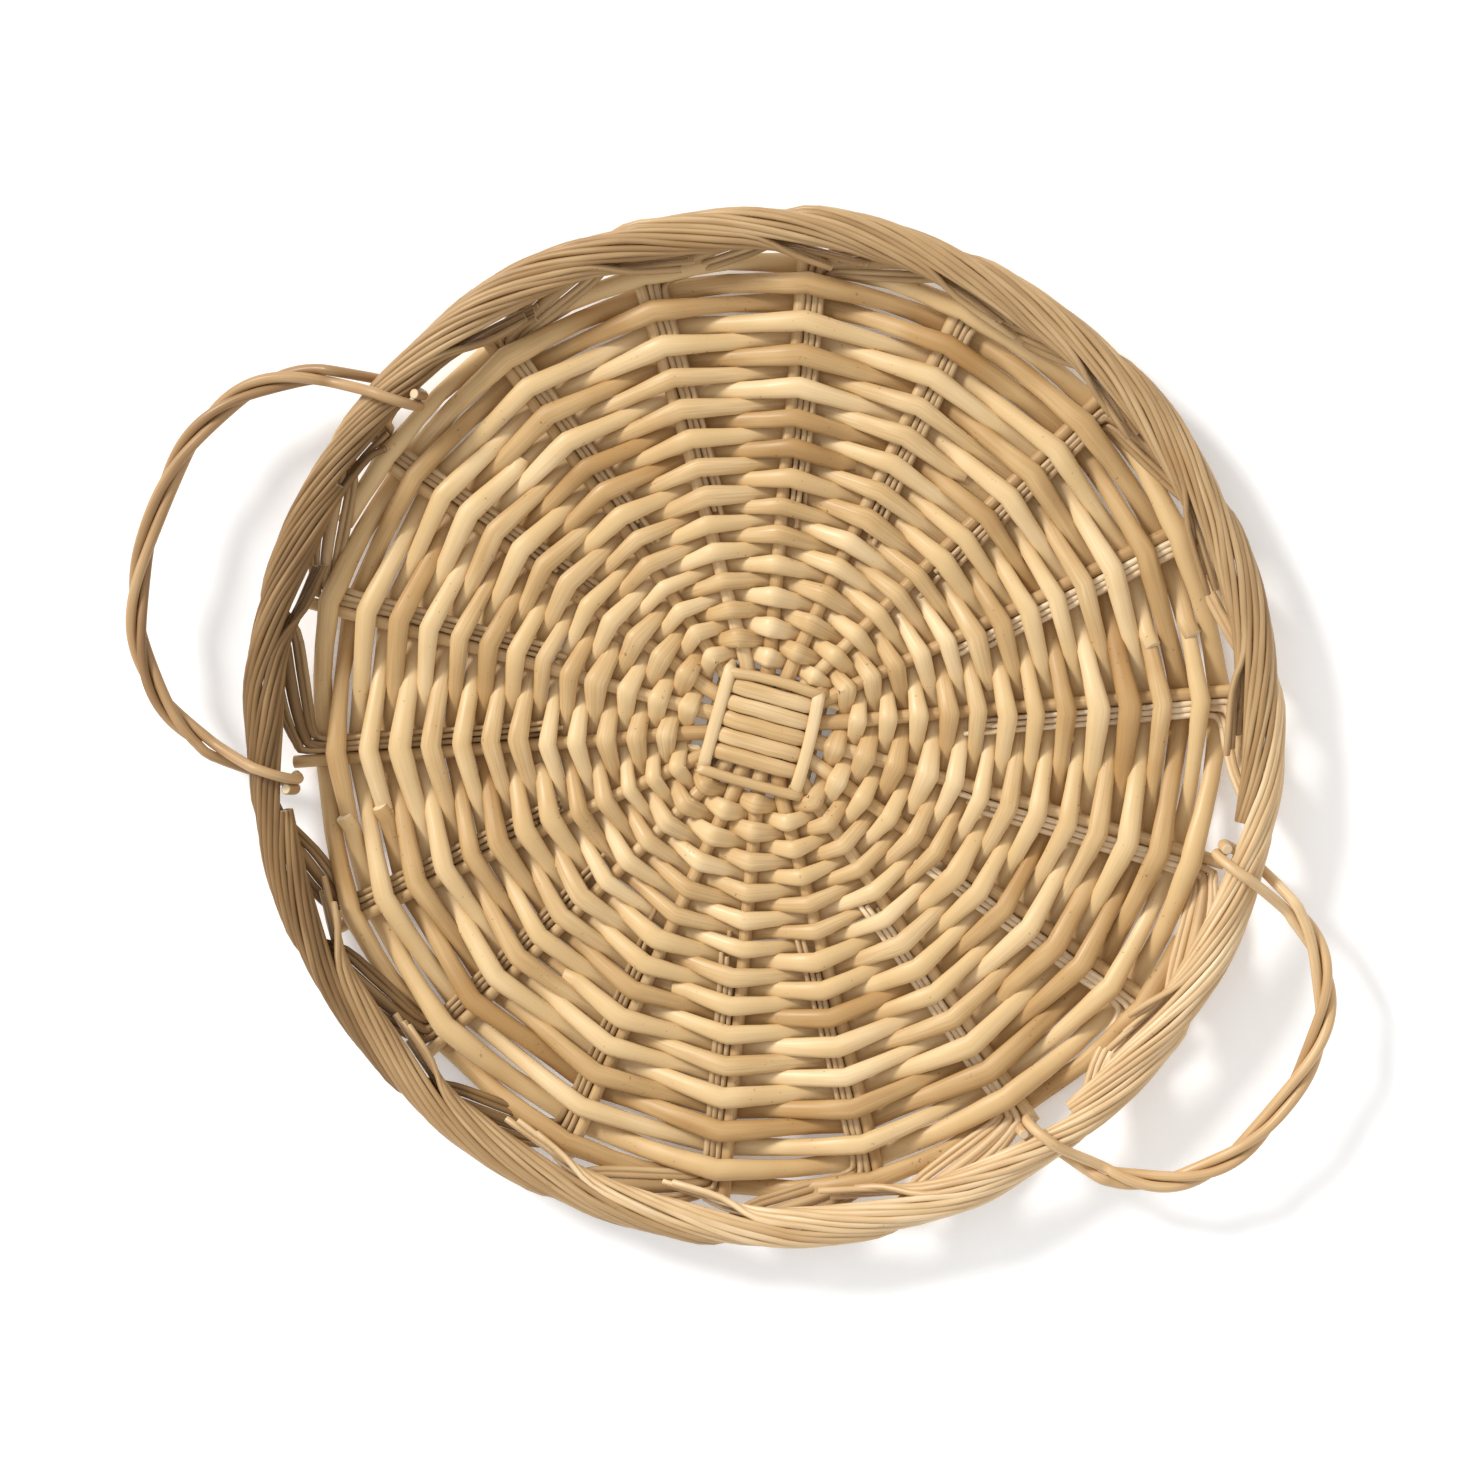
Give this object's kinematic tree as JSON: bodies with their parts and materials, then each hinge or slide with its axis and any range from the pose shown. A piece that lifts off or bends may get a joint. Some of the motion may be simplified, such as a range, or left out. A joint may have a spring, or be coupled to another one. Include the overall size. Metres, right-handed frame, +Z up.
{
  "type": "cheese mold",
  "caption": "Round shallow wicker tray for moulding and draining cheese, woven of peeled willow rods, with a rope border and two twisted swing handles.",
  "frame": {"origin": "middle of the underside of the slath, on the table", "axes": "+X towards the right-hand handle side, +Y across, +Z up"},
  "size_m": [0.4226, 0.3576, 0.0348],
  "materials": {
    "sticks": "peeled, matt",
    "binders": "peeled, satin",
    "weaving_rods": "peeled, satin",
    "border_stakes": "peeled, satin",
    "left_handle_rods": "buff, satin",
    "right_handle_rods": "buff, satin"
  },
  "bodies": {
    "tray": {"binder_1": "binders", "binder_2": "binders", "pierced_stick_1": "sticks", "pierced_stick_2": "sticks", "pierced_stick_3": "sticks", "pierced_stick_4": "sticks", "pierced_stick_5": "sticks", "threaded_stick_1": "sticks", "threaded_stick_2": "sticks", "threaded_stick_3": "sticks", "threaded_stick_4": "sticks", "weaver_a1": "weaving_rods", "weaver_a2": "weaving_rods", "weaver_a3": "weaving_rods", "weaver_a4": "weaving_rods", "weaver_a5": "weaving_rods", "weaver_a6": "weaving_rods", "weaver_a7": "weaving_rods", "weaver_a8": "weaving_rods", "weaver_b1": "weaving_rods", "weaver_b2": "weaving_rods", "weaver_b3": "weaving_rods", "weaver_b4": "weaving_rods", "weaver_b5": "weaving_rods", "weaver_b6": "weaving_rods", "weaver_b7": "weaving_rods", "weaver_b8": "weaving_rods", "border_bundle_01": "border_stakes", "border_bundle_02": "border_stakes", "border_bundle_03": "border_stakes", "border_bundle_04": "border_stakes", "border_bundle_05": "border_stakes", "border_bundle_06": "border_stakes", "border_bundle_07": "border_stakes", "border_bundle_08": "border_stakes", "border_bundle_09": "border_stakes", "border_bundle_10": "border_stakes", "border_bundle_11": "border_stakes", "border_bundle_12": "border_stakes", "border_bundle_13": "border_stakes", "border_bundle_14": "border_stakes", "border_bundle_15": "border_stakes", "border_bundle_16": "border_stakes", "border_bundle_17": "border_stakes", "border_bundle_18": "border_stakes"},
    "left_handle": {"left_handle_rod_1": "left_handle_rods", "left_handle_rod_2": "left_handle_rods", "left_handle_rod_3": "left_handle_rods"},
    "right_handle": {"right_handle_rod_1": "right_handle_rods", "right_handle_rod_2": "right_handle_rods", "right_handle_rod_3": "right_handle_rods"}
  },
  "joints": [
    {"name": "left_handle_swing", "type": "hinge", "parent": "tray", "child": "left_handle", "pos_m": [-0.15054, 0.05037, 0.0225], "axis": [0.3173, 0.9483, 0], "range_deg": [-14, 180]},
    {"name": "right_handle_swing", "type": "hinge", "parent": "tray", "child": "right_handle", "pos_m": [0.13437, -0.09322, 0.0225], "axis": [-0.57, -0.8216, 0], "range_deg": [-14, 180]}
  ]
}
